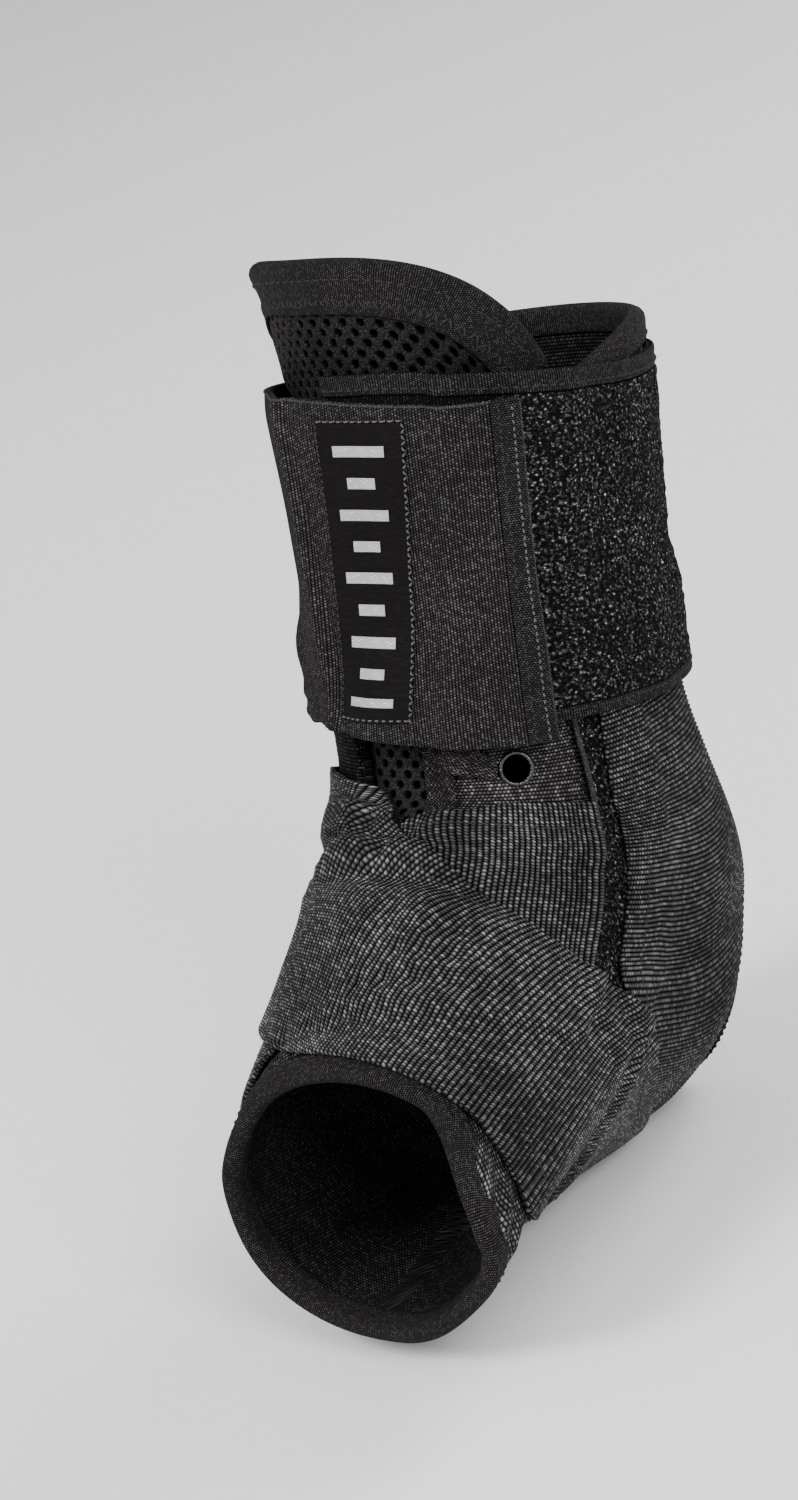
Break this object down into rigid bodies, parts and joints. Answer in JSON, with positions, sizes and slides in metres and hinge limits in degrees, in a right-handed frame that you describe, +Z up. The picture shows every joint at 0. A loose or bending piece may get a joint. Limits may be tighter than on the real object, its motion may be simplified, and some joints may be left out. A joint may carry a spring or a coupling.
{
  "type": "ankle brace",
  "caption": "Right-foot ankle brace: a lace-up boot with an open heel and toes, crossed stabilising straps and a wrap-around cuff.",
  "frame": {"origin": "where the sole of the foot rests, below the leg's axis", "axes": "+Z up the leg, -Y towards the toes, +X to the inner side of the ankle"},
  "size_m": [0.0961, 0.1744, 0.2266],
  "materials": {
    "spacer_mesh": "black spacer mesh with staggered holes",
    "binding_tape": "black woven binding tape with stitching",
    "boot_cloth": "black padded cloth",
    "facing_weave": "charcoal woven facing",
    "eyelet_metal": "glossy black",
    "lace_braid": "black flat herringbone braid",
    "loop_pile": "black fuzzy loop pile",
    "strap_webbing": "charcoal ribbed webbing",
    "cuff_backing": "black backing cloth",
    "elastic_knit": "charcoal elastic knit with fine wales",
    "label_satin": "plain black satin with a light stitched border"
  },
  "bodies": {
    "root": {"tongue_pad": "spacer_mesh", "tongue_binding": "binding_tape", "boot_shell": "boot_cloth", "toe_binding": "binding_tape", "collar_binding": "binding_tape", "heel_binding": "binding_tape", "medial_eyelet_facing": "facing_weave", "lateral_eyelet_facing": "facing_weave", "eyelet": "eyelet_metal", "lace_lower": "lace_braid", "lace_upper": "lace_braid", "medial_loop_strip": "loop_pile", "lateral_loop_strip": "loop_pile", "strap_inner": "strap_webbing", "strap_outer": "strap_webbing", "cuff_loop_wing": "cuff_backing", "cuff_top_tape": "binding_tape", "cuff_loop_pile": "loop_pile", "cuff_bottom_tape": "binding_tape", "cuff_elastic_wing": "elastic_knit", "cuff_end_hem": "binding_tape", "label_patch": "label_satin"}
  },
  "joints": []
}
